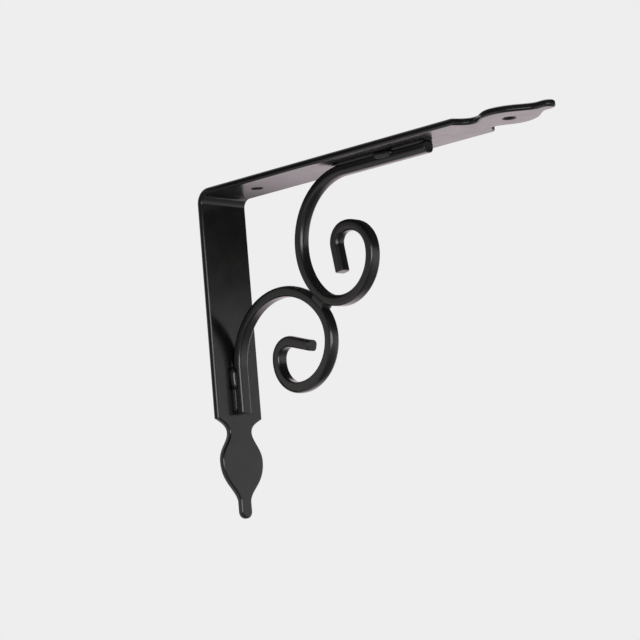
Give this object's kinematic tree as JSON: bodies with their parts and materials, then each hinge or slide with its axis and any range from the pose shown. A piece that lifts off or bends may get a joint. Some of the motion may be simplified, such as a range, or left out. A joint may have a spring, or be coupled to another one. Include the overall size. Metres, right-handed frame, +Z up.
{
  "type": "shelf bracket",
  "caption": "Black painted steel shelf bracket: a flat strap bent into an L with leaf shaped ends, braced in its corner by two welded scrolls.",
  "frame": {"origin": "on the flat back of the wall leg, on the bracket's middle line, 50 mm below the shelf face", "axes": "+Y into the wall, -Y out under the shelf, +Z up, X along the wall"},
  "size_m": [0.028, 0.1984, 0.15],
  "materials": {
    "black_enamel": "high gloss black enamel over steel, slightly soft at the edges"
  },
  "bodies": {
    "root": {"strap": "black_enamel", "upper_scroll": "black_enamel", "lower_scroll": "black_enamel"}
  },
  "joints": []
}
